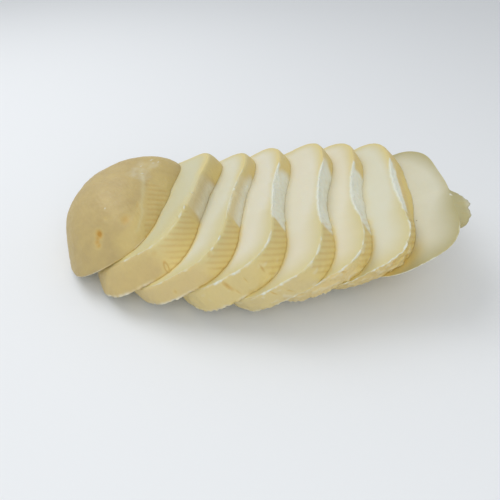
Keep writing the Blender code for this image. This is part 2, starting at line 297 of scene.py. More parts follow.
def skin(name, parts, poles, masks, is_paste):
    """Joins ring r to ring r+1 by quads (r,i)-(r,i+1)-(r+1,i+1)-(r+1,i), with a fan at each end.

    The parts are stacks of rings from one pole to the other, and nothing of them sinks below the
    ground. A mask has one grid a part, and a bare number there holds for the whole part.
    """
    rings = np.concatenate(parts)
    rings[..., 2] = np.maximum(rings[..., 2], 0.0)
    rows = len(rings)
    points = np.concatenate([rings.reshape(-1, 3), poles]) * MM
    grid = np.arange(rows * AROUND).reshape(rows, AROUND)
    beside = np.roll(grid, -1, axis=1)
    quads = np.stack([grid[:-1], grid[1:], beside[1:], beside[:-1]], axis=-1).reshape(-1, 4)
    top = np.stack([np.full(AROUND, rows * AROUND), grid[0], beside[0]], axis=-1)
    end = np.stack([np.full(AROUND, rows * AROUND + 1), beside[-1], grid[-1]], axis=-1)
    mesh = bpy.data.meshes.new(name)
    mesh.vertices.add(len(points))
    mesh.vertices.foreach_set("co", points.astype(np.float32).ravel())
    corners = np.concatenate([quads.ravel(), top.ravel(), end.ravel()])
    sizes = np.concatenate([np.full(len(quads), 4), np.full(2 * AROUND, 3)])
    mesh.loops.add(len(corners))
    mesh.loops.foreach_set("vertex_index", corners.astype(np.int32))
    mesh.polygons.add(len(sizes))
    mesh.polygons.foreach_set("loop_start", (np.cumsum(sizes) - sizes).astype(np.int32))
    ring_is_paste = np.repeat(is_paste, [len(part) for part in parts])
    between = np.maximum(ring_is_paste[:-1], ring_is_paste[1:])
    paste = np.repeat([*between, ring_is_paste[0], ring_is_paste[-1]], AROUND)
    mesh.polygons.foreach_set("material_index", paste.astype(np.int32))
    mesh.update(calc_edges=True)
    for mask, grids in masks.items():
        values = np.concatenate([np.broadcast_to(grid, part.shape[:2]) for grid, part in zip(grids, parts)])
        layer = mesh.attributes.new(mask, "FLOAT", "POINT")
        ends = [values[0].mean(), values[-1].mean()]
        layer.data.foreach_set("value", np.concatenate([values.ravel(), ends]).astype(np.float32))
    mesh.shade_smooth()
    piece = bpy.data.objects.new(name, mesh)
    bpy.context.scene.collection.objects.link(piece)
    print("%s: %d points, %d faces" % (name, len(points), len(sizes)))
    return piece


# %% Colours near an edge
OUTLINE_STEP = 2                      # a distance looks at every second point of an outline
WAXY_REACH_MM = 4.2
WAXY_FRONT_MM = 7.3
WAXY_BACK_MM = 4.0
WAXY_LEAST = 0.70
WAXY_MORE = 0.30
WAXY_FALL = 1.2
WAXY_RIND_MM = {2: 4.0, 3: 3.2, 4: 2.0, 5: 2.0, 6: 2.0, 7: 2.0}
WAXY_RIND = 0.9
TAN_TOP = 0.55
TAN_TOP_MM = 2.6
GLOW_FADE_MM = 14.0


def distance_to(rings, rim):
    """Millimetres from each point of a face to the nearest point of an outline, and that point's angle."""
    near = []
    angles = []
    for ring in rings:
        gaps = np.linalg.norm(ring[:, None, :] - rim[None, ::OUTLINE_STEP, :], axis=2)
        near.append(gaps.min(axis=1))
        angles.append(DEGREES[::OUTLINE_STEP][gaps.argmin(axis=1)])
    return np.array(near), np.array(angles)


def waxy_edge(near_rim, angle, wide=1.0):
    """Waxy yellow towards the rind: strength x (1 - distance / reach)^fall, by the nearest rim's angle."""
    reach = wide * (WAXY_REACH_MM + WAXY_FRONT_MM * zone(angle, "waxy front")
                    + WAXY_BACK_MM * zone(angle, "waxy back"))
    stronger = np.maximum(zone(angle, "stronger front"), zone(angle, "stronger back"))
    return (WAXY_LEAST + WAXY_MORE * stronger) * np.clip(1 - near_rim / reach, 0, 1) ** WAXY_FALL


def waxy_rind(into, number):
    """The same yellow on the rind's side of the edge: strength x exp(-(distance / reach)^1.5)."""
    where = zone(DEGREES, "waxy shoulder")
    if number in SMALL_PATCH:
        where = np.maximum(where, 0.8 * zone(DEGREES, "waxy saddle"))
    return WAXY_RIND * np.maximum(where, 0.2) * np.exp(-(into / WAXY_RIND_MM[number]) ** 1.5)


def tan_top(near_rim, angle):
    """A tan tinge along the top edge of a cut face: exp(-(distance / reach)^2) in one zone."""
    return TAN_TOP * zone(angle, "tan top") * bell(near_rim, TAN_TOP_MM)


def glow_beside(rings, outline, reach_mm, from_y_mm, least=0.0):
    """Golden light in the crease under the piece above: exp(-(distance / reach)^2), mostly in front."""
    front = np.clip((from_y_mm - rings[..., 1]) / GLOW_FADE_MM, least, 1)
    return front * bell(distance_to(rings, outline)[0], reach_mm)


def outwards(rings, middle):
    """Unit arms from the middle of a section to its points."""
    arms = rings - middle
    return arms / np.linalg.norm(arms, axis=-1, keepdims=True)


# %% [markdown]
# The knife tears the rind where it leaves the paste: the edge of each slice is a crumbly white
# line. It is thick where the rind is dished and dry, nearly gone on the ribbed shoulder, and comes
# back, broken up, round the front. Three numbers a slice say how strong it is there and there,
# and how broken.

# %% The torn white edge
TORN_SADDLE = {2: 0.08, 3: 0.45, 4: 0.95, 5: 1.0, 6: 1.0, 7: 1.0, 8: 0.10}
TORN_FRONT = {2: 0.45, 3: 0.45, 4: 0.62, 5: 0.72, 6: 0.78, 7: 0.85, 8: 0.80}
TORN_BACK = 0.35
TORN_LEAST = 0.10
BROKEN = {2: 0.5, 3: 0.4, 4: 0.2, 5: 0.2, 6: 0.25, 7: 0.25, 8: 0.4}
DASH_GAPS = 0.55                      # how much of the edge goes between its dashes in front
SADDLE_DEG = (61.0, 118.0)
FRONT_DEG = {2: (124.0, 178.0), 3: (138.0, 186.0), 4: (136.0, 186.0), 5: (134.0, 184.0), 6: (129.0, 186.0),
             7: (126.0, 193.0), 8: (137.0, 204.0)}
# Bright crumbs: angle round the edge, half length in degrees.
BRIGHT = {2: ((116.0, 2.0), (126.0, 1.4), (97.0, 0.9)),
          3: ((81.0, 1.8), (135.0, 1.8), (143.0, 1.6)), 4: ((168.0, 2.0), (181.0, 2.5)),
          5: ((178.0, 3.0), (68.0, 2.0)), 6: ((150.0, 3.0), (158.0, 3.0)), 7: ((152.0, 3.0), (186.0, 3.0)),
          8: ((105.0, 1.1),)}
BRIGHTNESS = 0.75
TORN_WIDTH_MM = 1.25
BURR_MM = 0.26


def torn_strength(number):
    """Strength of the white edge round a slice: two soft zones over a faint rest, broken by noise."""
    saddle = TORN_SADDLE[number] * band(DEGREES, *SADDLE_DEG, 7.0)
    front = TORN_FRONT[number] * band(DEGREES, *FRONT_DEG[number], 8.0)
    back = TORN_BACK * zone(DEGREES, "torn back")
    even = np.maximum(np.maximum(saddle, front), np.maximum(back, TORN_LEAST))
    breaks = np.clip(0.5 + 0.6 * torn(1, 5.0)[0], 0, 1)
    dashes = zone(DEGREES, "dashed") * np.clip(0.45 - 0.6 * torn(1, 1.8)[0], 0, 1)
    strength = even * (1 - BROKEN[number] * (1 - breaks)) * (1 - DASH_GAPS * dashes)
    width = TORN_WIDTH_MM * (0.35 + 0.65 * strength) * (1 + 0.5 * band(DEGREES, *SADDLE_DEG, 10.0))
    for angle, half in BRIGHT[number]:
        strength = np.maximum(strength, BRIGHTNESS * np.exp(-((DEGREES - angle) / half) ** 4))
    return strength, width


# %% Marks that a slice's rind carries
# Each mark: angle round the section, share of the way across, half length and half width in
# millimetres, depth (a crumb stands out, so its depth is below zero), turn, and how golden it is.
SLICE_MARKS = {
    2: ((154.0, 0.25, 2.8, 1.8, 0.15, 0.0, 0.3),),
    3: ((146.0, 0.07, 1.6, 1.2, 0.25, 0.0, 0.4), (180.0, 0.65, 1.8, 1.2, 0.25, 30.0, 0.40),
        (81.0, 0.03, 0.7, 0.7, -0.25, 0.0, 0.0), (69.0, 0.83, 0.6, 0.6, -0.2, 0.0, 0.0)),
    4: ((151.5, 0.44, 2.4, 0.80, 0.25, 88.0, 0.60), (164.0, 0.44, 2.0, 0.60, 0.25, 100.0, 0.45),
        (176.0, 0.30, 3.8, 1.60, 0.18, -57.0, 0.66), (173.0, 0.68, 2.6, 0.9, 0.25, -60.0, 0.40)),
    5: ((178.0, 0.25, 2.4, 0.8, 0.30, -60.0, 0.60), (170.0, 0.55, 2.2, 0.8, 0.30, -60.0, 0.50)),
    6: ((160.0, 0.22, 1.8, 0.8, 0.35, -45.0, 0.50), (74.0, 0.52, 1.5, 0.6, -0.2, 15.0, 0.0)),
    7: ((159.0, 0.22, 2.6, 1.0, 0.50, -20.0, 0.60), (152.0, 0.35, 2.0, 0.8, 0.35, -20.0, 0.45)),
}
# Curls of loose rind: angle, share of the way across, half length, half width, height and turn.
CURLS = {2: ((152.5, 0.82, 2.2, 1.1, 0.55, 70.0),), 7: ((158.5, 0.24, 2.3, 1.1, 0.40, 15.0),)}
CURL_RIM = 0.40                       # width of a curl's rim, as a share of its half width


def beside_mark(mark, share, thickness, radius):
    """Distances from a mark's middle in its own turned axes, in half lengths and half widths."""
    angle, at, half_length, half_width, _, turn_deg = mark[:6]
    turn = math.radians(turn_deg)
    along = np.radians(DEGREES - angle) * radius
    across = (share - at) * thickness
    x = (along * math.cos(turn) + across * math.sin(turn)) / half_length
    y = (across * math.cos(turn) - along * math.sin(turn)) / half_width
    return x, y


def curl_up(curls, share, thickness, radius):
    """A rim round each curl: height x exp(-((r - 1) / rim)^2), r being the distance from its middle."""
    raised = np.zeros(radius.shape)
    for curl in curls:
        x, y = beside_mark(curl, share, thickness, radius)
        raised = np.maximum(raised, curl[4] * bell(np.hypot(x, y) - 1, CURL_RIM))
    return raised


def sink_marks(marks, share, thickness, radius):
    """Sums a piece's hollows, depth x exp(-x^2 - y^2) each, and says where they are golden or pale."""
    depth = np.zeros(radius.shape)
    golden = np.zeros(radius.shape)
    pale = np.zeros(radius.shape)
    for mark in marks:
        x, y = beside_mark(mark, share, thickness, radius)
        shape = np.exp(-x ** 2 - y ** 2)
        depth += mark[4] * shape
        golden = np.maximum(golden, mark[6] * shape)
        if mark[4] < 0:
            pale = np.maximum(pale, shape)
    return depth, golden, pale


# %% [markdown]
# Now a slice. Its rind swells a little between the two cut edges, sinks into the ribs and the
# marks, and stands up in crumbs along the torn edge. Its lower edge sinks almost onto the next
# slice, and in front, where it stands free, that edge is thin, pale and a little ragged.

# %% A slice
BELLY_MM = 0.5
LUMP_MM = 0.28
GRAINY_MM = 0.05
DRY_GRAIN_MM = 0.015
FACE_LUMP_MM = 0.05
RIND_ROWS = 38
ACROSS = np.linspace(0, 1, RIND_ROWS)
ACROSS = 0.55 * ACROSS + 0.45 * (0.5 - 0.5 * np.cos(math.pi * ACROSS))
DRY_DEG = {2: (73.0, 108.0), 3: (69.0, 112.0), 4: (68.0, 117.0), 5: (63.0, 121.0), 6: (69.0, 122.0),
           7: (64.0, 116.0)}
DRY_SOFT_DEG = (9.0, 4.0)             # soft margins towards the back and towards the front
DRY_STRENGTH = {2: 0.55, 3: 0.76, 4: 0.94, 5: 1.0, 6: 0.95, 7: 1.0}
SETTLED_MM = 0.25                     # how far the lower edge sinks towards the next slice
EDGE_DIP_MM = 0.25                    # how far the upper edge is sunk where it isn't torn
FRONT_CRUMB = 0.23                    # the most that crumbs whiten the front
SUNK_REACH_MM = 0.7
# Painted shade: the deep golden line in front, where the lower edge lies in the crease over the next slice.
CREASE = {1: 0.60, 2: 0.60, 3: 0.55, 4: 0.40, 5: 0.25, 6: 0.25, 7: 0.40}
CREASE_MM = 0.7
EDGE_MM = 0.8                         # how far the colour of a lower edge reaches
LOWER_EDGE_MM = 0.9                   # how far its shape does
RAGGED_MM = {2: 0.50, 3: 0.55, 4: 0.75, 5: 0.85, 6: 1.25, 7: 1.35}
CRUMBLY_MM = {2: 0.03, 3: 0.03, 4: 0.08, 5: 0.12, 6: 0.22, 7: 0.25}
# How far the unbroken edge is rounded off, and how far from the edge that starts.
ROUNDED_MM = {2: 0.70, 3: 0.50, 4: 0.35, 5: 0.35, 6: 0.35, 7: 0.35}
ROUND_REACH_MM = {2: 1.8, 3: 1.4, 4: 0.9, 5: 0.9, 6: 0.9, 7: 0.9}
CREVICE_GLOW = (1.3, -8.0, 0.4)       # reach, where it starts in Y, and the least of it further back


def crease_shade_line(number, from_low):
    """Painted shade in the front crease, a thin deep line: strength x exp(-(distance from the lower edge /
    width)^2).
    """
    return CREASE[number] * zone(DEGREES, "crease") * bell(from_low, CREASE_MM)


def dried_across(number, share):
    """How dry a strip is across: late on slices 2 and 3, only at its start on slice 7, else all over."""
    if number in SMALL_PATCH:
        return 0.25 + 0.75 * np.clip((share - 0.35) / 0.4, 0, 1)
    if number == 7:
        return band(share, 0.0, 0.25, 0.12)
    return np.ones_like(share)


def slice_masks(number, rind, share, from_low):
    """Where a slice's rind is dry, golden (partly painted shade and glow) and grooved, each as a grid from 0
    to 1.
    """
    degrees = DEGREES[None, :] + 2.5 * lumpy(rind, 14.0)
    ribbed = zone(degrees, "ribbed") * band(share, 0.16, 0.97, 0.12)
    dry = band(degrees, *DRY_DEG[number], np.where(degrees < 90.0, *DRY_SOFT_DEG))
    dry = dry * dried_across(number, share) * DRY_STRENGTH[number]
    dry = np.clip(dry * (0.94 + 0.06 * lumpy(rind, 4.0)), 0, 1)
    lower = bell(from_low, EDGE_MM)
    dry = dry * (1 - 0.6 * lower * np.clip(0.5 + 0.5 * torn(RIND_ROWS, 2.0, 1.2), 0, 1))
    free = zone(degrees, "free edge") * (0.5 + 0.3 * torn(1, 3.0))
    dry = np.maximum(dry, np.clip(free, 0, 0.8) * lower)
    # The golden tint of the bulge and the top is the rind's own; its growth towards the lower edge is painted
    # shade from the next slice.
    golden = zone(degrees, "gold shoulder") * (0.25 + 0.60 * share ** 1.5)
    golden = np.maximum(golden, 0.75 * zone(degrees, "gold top") * (0.4 + 0.6 * share))
    # Painted glow: golden light through the cheese in the crease along the lower edge.
    golden = np.maximum(golden, 0.9 * zone(degrees, "gold crease") * lower)
    # Painted shade: slice 7's golden strip along its lower edge, where it overhangs the right heel.
    if number == 7:
        golden = np.maximum(golden, 0.8 * zone(degrees, "gold strip") * band(share, 0.66, 1.0, 0.2))
    return dry, golden, ribs(rind, number) * ribbed


def build_slice(number):
    """The upper face, the rind and the lower face of one slice, with their masks."""
    top, top_middle = face_outline(number - 2, True)
    bottom, bottom_middle = face_outline(number - 1, False)
    normal = CUTS[number - 2][2]
    lower_normal = CUTS[number - 1][2]
    thickness = SLICES_MM[number - 2]
    share = ACROSS[:, None]
    into = share * thickness
    from_low = (1 - share) * thickness
    rind = (1 - share[..., None]) * top + share[..., None] * bottom
    middles = (1 - share[..., None]) * top_middle + share[..., None] * bottom_middle
    out = outwards(rind, middles)
    radius = np.linalg.norm(rind - middles, axis=-1)
    dry, golden, groove = slice_masks(number, rind, share, from_low)
    depth, marks_and_crease_shade, pale = sink_marks(SLICE_MARKS[number], share, thickness, radius)
    # Painted shade: the deep line in the front crease joins the marks.
    marks_and_crease_shade = np.maximum(marks_and_crease_shade, crease_shade_line(number, from_low))
    curls = curl_up(CURLS.get(number, ()), share, thickness, radius)
    strength, width = torn_strength(number)
    edge = bell(into, width)
    crumbs = torn(RIND_ROWS, 2.2, 1.6)
    crumb = np.clip(strength * edge * (1.0 + 0.25 * crumbs), 0, 1)
    broken = CRUMBLY_MM[number] * zone(DEGREES, "crumbly") * torn(RIND_ROWS, 3.0, 2.2)
    crumb = np.maximum(crumb, np.clip(1.2 * broken - 0.02, 0, FRONT_CRUMB))
    lower = bell(from_low, LOWER_EDGE_MM)
    flakes = np.clip(0.5 * torn(RIND_ROWS, 2.5, 1.5), 0, 0.6) * lower
    if number not in SMALL_PATCH:
        crumb = np.maximum(crumb, flakes * zone(DEGREES, "flaky"))
    ragged = np.clip(0.4 + 0.3 * torn(1, 4.0)[0] + 0.35 * torn(1, 1.5)[0], 0, 1.5)
    ragged = ragged * zone(DEGREES, "ragged")
    relief = (BELLY_MM * 4 * share * (1 - share)
              + LUMP_MM * (0.6 * lumpy(rind, 16.0) + 0.3 * lumpy(rind, 5.0))
              + GRAINY_MM * lumpy(rind, 1.6)
              - RIB_DEPTH_MM * groove
              - CLOTH_DEPTH_MM * cloth(rind) * dry
              + DRY_GRAIN_MM * dry * torn(RIND_ROWS, 1.2, 1.2)
              + BURR_MM * crumb * (0.5 + 0.55 * crumbs)
              - EDGE_DIP_MM * edge * (1 - strength)
              - RAGGED_MM[number] * ragged * lower
              + broken
              - ROUNDED_MM[number] * bell(into, ROUND_REACH_MM[number]) * (1 - strength)
              + curls - depth)
    rind = rind + out * relief[..., None]
    rind = rind - SETTLED_MM * (lower * zone(DEGREES, "settled"))[..., None] * lower_normal
    sunk = ROUNDED_MM[number] * (1 - strength)
    rind = rind - (sunk * bell(into, SUNK_REACH_MM))[..., None] * normal
    rim = rind[0] + sunk[:, None] * normal
    upper = top_middle + UPPER_SHARES[:, None, None] * (rim - top_middle)
    near_rim, near_angle = distance_to(upper, rim)
    face_crumb = np.clip(strength * bell(near_rim, 0.7 * width), 0, 1)
    lift = BURR_MM * strength * bell(near_rim, 0.55 * width) * (0.6 + 0.5 * torn(len(upper), 1.8, 1.3))
    lift = lift - sunk * bell(near_rim, ROUND_REACH_MM[number])
    upper = upper + (lift + FACE_LUMP_MM * lumpy(upper, 9.0))[..., None] * normal
    glow = glow_beside(upper, face_outline(number - 2, False)[0], *CREVICE_GLOW)
    lower_face = bottom_middle + LOWER_SHARES[:, None, None] * (rind[-1] - bottom_middle)
    masks = {
        "waxy": (waxy_edge(near_rim, near_angle), waxy_rind(into, number) * (1 - dry),
                 waxy_edge(*distance_to(lower_face, rind[-1]))),
        "dry": (0.0, dry, 0.0),
        "golden": (np.maximum(glow, tan_top(near_rim, near_angle)), np.maximum(golden, marks_and_crease_shade), 0.0),
        "groove": (0.0, groove, 0.0),
        "marks_and_crease_shade": (0.0, np.maximum(0.95 * marks_and_crease_shade, 1.1 * curls), 0.0),
        "crumb": (face_crumb, np.maximum(crumb, pale), 0.0),
    }
    poles = [top_middle, bottom_middle]
    return skin("slice_%d_cheese" % number, (upper, rind, lower_face), poles, masks, (1, 0, 1))


SLICES = {number: build_slice(number) for number in range(2, len(SLICES_MM) + 2)}


# %% [markdown]
# A heel is the same outline, closed by a dome instead of a second cut. A dome ring shrinks with
# the cosine of a quarter turn and rises with a power of its sine. The power sets how square the
# dome's shoulder is.

# %% The left heel
def dome_ring(cut, is_below, share, height, shoulders, drift, flare):
    """Outline times cos(share), height times sin(share)^(2 e), with e changing round the section."""
    rim, middle = face_outline(cut, is_below)
    normal, _, uphill_axis = CUTS[cut][2:]
    up = -normal if is_below else normal
    ends, low, high = shoulders
    side = np.where(np.sin(ANGLES) > 0, high, low)
    power = ends * np.cos(ANGLES) ** 2 + side * np.sin(ANGLES) ** 2
    out = np.cos(share * math.pi / 2)
    lift = np.sin(share * math.pi / 2) ** (2 * power)
    arm = rim - middle
    spread = out * (1 + flare * np.sin(math.pi * lift) / np.linalg.norm(arm, axis=1))
    rise = np.outer(drift[0] * lift + drift[1] * lift * (1 - lift), uphill_axis)
    return middle + arm * spread[:, None] + rise + np.outer(height * lift, up)


DOME_ROWS = 84
DOME_SHARES = np.linspace(0, 1, DOME_ROWS + 1)[:-1] ** 1.15
# Marks in the dome: angle, share of the way to the crown, half length, half width, depth, turn, gold.
HEEL_MARKS = ((167.8, 0.38, 2.3, 2.1, 0.50, 0.0, 1.1), (171.3, 0.355, 1.8, 1.5, 0.25, 0.0, 0.68),
              (173.3, 0.325, 1.8, 1.5, 0.25, 0.0, 0.66), (172.8, 0.29, 2.0, 1.4, 0.25, 0.0, 0.66),
              (141.0, 0.315, 3.1, 2.5, 0.45, 20.0, 0.50), (154.0, 0.46, 1.2, 0.9, 0.15, 40.0, 0.25),
              (124.0, 0.28, 2.2, 0.9, 0.20, 0.0, 0.35), (148.0, 0.54, 0.6, 0.4, -0.12, 0.0, 0.0),
              # The four pale specks from 50 to 63 degrees on the crest are painted highlights, glints of
              # shine drawn as tiny raised crumbs.
              (50.0, 0.40, 1.4, 0.5, -0.12, 20.0, 0.0), (55.0, 0.36, 0.8, 0.4, -0.10, 60.0, 0.0),
              (52.0, 0.32, 0.9, 0.4, -0.10, 0.0, 0.0), (63.0, 0.45, 0.7, 0.4, -0.10, 30.0, 0.0),
              (76.0, 0.38, 0.9, 0.5, -0.10, 50.0, 0.0))
DOME_ARC_MM = 52.0                    # from the rim to the crown, over the dome
# How far up the dome the ribs reach, and where the pale streak beside them runs, by the angle.
RIB_LIMIT = ((62.0, 97.0, 111.0, 123.0, 131.0, 137.0), (0.39, 0.26, 0.19, 0.14, 0.08, 0.01))
STREAK_AT = ((60.0, 76.0, 101.0, 123.0, 137.0), (0.40, 0.385, 0.30, 0.235, 0.15))
STREAK_WIDTH = 0.025
HEEL_RIBS = 0.8                       # depth of its ribs, as a share of a slice's
HEEL_RAGGED_MM = 0.35
HEEL_GRAINY_MM = 0.04


def surface_normals(rings):
    """Outward unit normals of stacked rings: the cross product of the steps round and up."""
    around = np.roll(rings, -1, axis=1) - np.roll(rings, 1, axis=1)
    up = np.gradient(rings, axis=0)
    normals = np.cross(around, up)
    normals /= np.linalg.norm(normals, axis=-1, keepdims=True) + 1e-9
    outward = (normals * (rings - rings.mean(axis=(0, 1)))).sum() > 0
    return normals if outward else -normals


def build_left_heel():
    """Rings of the dome from its crown down to the rim, then the hidden cut face."""
    dome = (LEFT_DOME_MM, LEFT_SHOULDERS, LEFT_DRIFT_MM, LEFT_FLARE_MM)
    rings = np.array([dome_ring(0, False, share, *dome) for share in DOME_SHARES])
    crown = dome_ring(0, False, 1.0, *dome)[0]
    middle = face_outline(0, False)[1]
    share = DOME_SHARES[:, None]
    from_rim = share * DOME_ARC_MM
    degrees = DEGREES[None, :] + 2.0 * lumpy(rings, 16.0)
    away = share + 0.015 * lumpy(rings, 10.0)
    radius = np.linalg.norm(rings - rings.mean(axis=1, keepdims=True), axis=-1)
    ribbed = zone(degrees, "heel ribs") * band(away, 0.02, np.interp(degrees, *RIB_LIMIT), 0.04)
    groove = ribs(rings, 1) * ribbed
    streak = zone(degrees, "heel streak") * bell(away - np.interp(degrees, *STREAK_AT), STREAK_WIDTH)
    blotch = zone(degrees, "heel blotch") * band(away, 0.33, 0.50, 0.06)
    blotch = blotch * np.clip(0.24 + 0.08 * torn(DOME_ROWS, 5.0, 1.2) + 0.05 * lumpy(rings, 6.0), 0, 0.5)
    free = zone(degrees, "heel free edge") * np.clip(0.5 + 0.3 * torn(1, 3.0), 0, 0.8)
    pale_rim = np.maximum(free, 0.5 * zone(degrees, "heel pale rim") * np.clip(torn(1, 3.0), 0, 1))
    dry = np.clip(0.06 * streak + 0.55 * blotch, 0, 1)
    dry = np.maximum(dry, pale_rim * bell(from_rim, LOWER_EDGE_MM))
    lower = bell(from_rim, EDGE_MM)
    golden = 0.35 * zone(degrees, "heel gold") * band(away, 0.0, 0.22, 0.1)
    golden = np.maximum(golden, 0.2 * zone(degrees, "heel gold top") * band(away, 0.15, 0.42, 0.12))
    # Painted glow: golden light through the cheese in the crease along the lower edge.
    golden = np.maximum(golden, 0.9 * zone(degrees, "heel crease") * lower)
    depth, marks_and_crease_shade, pale = sink_marks(HEEL_MARKS, share, DOME_ARC_MM, radius)
    # Painted shade: the deep line in the crease along the lower edge joins the marks.
    marks_and_crease_shade = np.maximum(marks_and_crease_shade, crease_shade_line(1, from_rim))
    ragged = np.clip(0.5 + 0.5 * torn(1, 3.0)[0], 0, 1.2) * zone(DEGREES, "heel ragged")
    relief = (LUMP_MM * (0.8 * lumpy(rings, 18.0) + 0.3 * lumpy(rings, 6.0)) * (1 - share) ** 0.5
              + HEEL_GRAINY_MM * lumpy(rings, 1.8)
              - HEEL_RIBS * RIB_DEPTH_MM * groove
              - HEEL_RAGGED_MM * ragged * lower
              - depth)
    rings = rings + surface_normals(rings) * relief[..., None]
    rings = rings - SETTLED_MM * (lower * zone(DEGREES, "heel settled"))[..., None] * CUTS[0][2]
    rim = rings[0]
    face = middle + LOWER_SHARES[:, None, None] * (rim - middle)
    masks = {
        "waxy": (0.40 * streak[::-1], waxy_edge(*distance_to(face, rim))),
        "dry": (dry[::-1], 0.0),
        "golden": (np.maximum(golden, marks_and_crease_shade)[::-1], 0.0),
        "groove": (groove[::-1], 0.0),
        "marks_and_crease_shade": (marks_and_crease_shade[::-1], 0.0),
        # The crumb mask holds the pale specks: crumbs, and the painted highlights on the crest.
        "crumb": (0.6 * pale[::-1], 0.0),
    }
    return skin("left_heel_cheese", (rings[::-1], face), [crown, middle], masks, (0, 1))


LEFT_HEEL = build_left_heel()

# %% [markdown]
# The right heel lies with its cut face up. Past its far edge hangs a lip of rind that the knife
# didn't part: it is the same dome, pushed out in a rounded lobe that changes a little from tear to
# tear. Its rim is unbroken, so the rings of its face stay smooth, and a tiny dark speck on the face
# gets a few closely set rings of its own.

# %% The right heel
FLAP_MM = 7.4
FLAP_AT_DEG = 113.5
FLAP_HALF_DEG = 19.5
FLAP_ROOT_MM = 3.0
# How far the lobe reaches and is set in, by how far down it hangs.
FLAP_DROPS_MM = (0.0, 1.0, 3.8, 5.4, 7.0, 9.0)
FLAP_REACH = (0.0, 0.25, 1.0, 0.80, 0.10, 0.0)
FLAP_SET_IN_MM = (0.0, 0.0, 0.0, 0.6, 2.5, 5.5)
RIGHT_ROWS = 64
RIGHT_SHARES = np.linspace(0, 1, RIGHT_ROWS + 1)[:-1] ** 0.8
SPECK = (139.0, 0.47, 0.45)           # angle, share of the way to the rim, radius in millimetres
SPECK_RINGS = 0.0085 * np.arange(-3, 4)
CORNER_GLOW = (4.6, -33.0)            # reach of the light, and where it starts in Y
HEEL_BORDER = 1.3                     # how much wider the waxy border is than a slice's
HEEL_EDGE_MM = 0.6
HEEL_BURR_MM = 0.15
FACE_BURR_MM = 0.12
FLAP_RIBS = 0.7
FLAP_GRAIN_MM = 0.03


def flap_lobe(rind, rim, middle, normal, drop):
    """Pushes the dome out: reach x share by the drop below the face, less the set-in by that drop."""
    away = (DEGREES - FLAP_AT_DEG) / FLAP_HALF_DEG
    tears = 1 + 0.03 * torn(1, 8.0)[0] + 0.06 * torn(1, 2.0)[0]
    lobe = FLAP_MM * tears * np.clip(1 - away ** 2, 0, 1)
    below = rim - normal * drop[..., None]
    reach = lobe * np.interp(drop, FLAP_DROPS_MM, FLAP_REACH) - np.interp(drop, FLAP_DROPS_MM, FLAP_SET_IN_MM)
    lip = below + outwards(below, middle - normal * drop[..., None]) * reach[..., None]
    hang = (np.clip(lobe / FLAP_ROOT_MM, 0, 1) * np.clip((11.0 - drop) / 4.0, 0, 1))[..., None]
    flap = np.clip(lobe / 1.5, 0, 1) * np.clip((9.0 - drop) / 4.0, 0, 1)
    return (1 - hang) * rind + hang * lip, flap, flap * np.clip((reach / FLAP_MM - 0.60) / 0.35, 0, 1)


def build_right_heel():
    """Rings of the upper cut face, then of the dome under it with the torn lip."""
    rim, middle = face_outline(LAST_CUT, True)
    normal = CUTS[LAST_CUT][2]
    dome = (RIGHT_DOME_MM, RIGHT_SHOULDERS, (0.0, 0.0), 0.0)
    rind = np.array([dome_ring(LAST_CUT, True, share, *dome) for share in RIGHT_SHARES])
    crown = dome_ring(LAST_CUT, True, 1.0, *dome)[0]
    drop = (middle - rind) @ normal
    rind, flap, outermost = flap_lobe(rind, rim, middle, normal, drop)
    strength, _ = torn_strength(8)
    edge = bell(drop, HEEL_EDGE_MM)
    crumbs = torn(RIGHT_ROWS, 2.2, 1.6)
    crumb = np.clip(strength * edge * (1 + 0.25 * crumbs), 0, 1)
    groove = ribs(rind, 8) * flap * band(drop, 1.2, 6.0, 1.0)
    lumps = LUMP_MM * (0.8 * lumpy(rind, 17.0) + 0.3 * lumpy(rind, 5.0)) * (1 - RIGHT_SHARES[:, None])
    relief = (lumps
              - FLAP_RIBS * RIB_DEPTH_MM * groove
              + FLAP_GRAIN_MM * flap * torn(RIGHT_ROWS, 2.6, 2.0)) * np.clip(drop / 1.5, 0, 1)
    rind = rind + surface_normals(rind) * relief[..., None]
    burr = (HEEL_BURR_MM * crumb * (0.5 + 0.5 * crumbs))[..., None]
    rind = rind + burr * outwards(rind, middle)
    shares = np.sort(np.concatenate([UPPER_SHARES, SPECK[1] + SPECK_RINGS]))
    upper = middle + shares[:, None, None] * (rind[0] - middle)
    near_rim, near_angle = distance_to(upper, rim)
    face_crumb = np.clip(strength * bell(near_rim, HEEL_EDGE_MM), 0, 1)
    upper = upper + (FACE_BURR_MM * face_crumb + 0.06 * lumpy(upper, 11.0))[..., None] * normal
    spot = middle + SPECK[1] * (rim[int(SPECK[0] / 360 * AROUND)] - middle)
    speck = np.exp(-((upper - spot) ** 2).sum(axis=-1) / SPECK[2] ** 2)
    masks = {
        "waxy": (waxy_edge(near_rim, near_angle, HEEL_BORDER), 0.95 * flap),
        "dry": (0.0, 0.04 * flap + 0.36 * outermost),
        "golden": (glow_beside(upper, face_outline(LAST_CUT, False)[0], *CORNER_GLOW), 0.0),
        "groove": (0.0, 0.35 * groove),
        "marks_and_crease_shade": (speck, 0.0),
        "crumb": (face_crumb, crumb),
    }
    return skin("right_heel_cheese", (upper, rind), [middle, crown], masks, (1, 0))


RIGHT_HEEL = build_right_heel()

# %% [markdown]
# Finishes. Cheese has no pattern of its own, only slow mottling, a fine grain and a soft change
# from cream in the middle of a cut to a waxy yellow near the rind. The mottling and the grain
# are shader groups, because both the rind and the paste use them with their own values.


# %% Colours and nodes
def colour(red, green, blue):
    """A colour given from 0 to 255 as seen, turned into the linear values that shaders take."""
    seen = np.array([red, green, blue]) / 255.0
    linear = np.where(seen <= 0.04045, seen / 12.92, ((seen + 0.055) / 1.055) ** 2.4)
    return (*[float(value) for value in linear], 1.0)


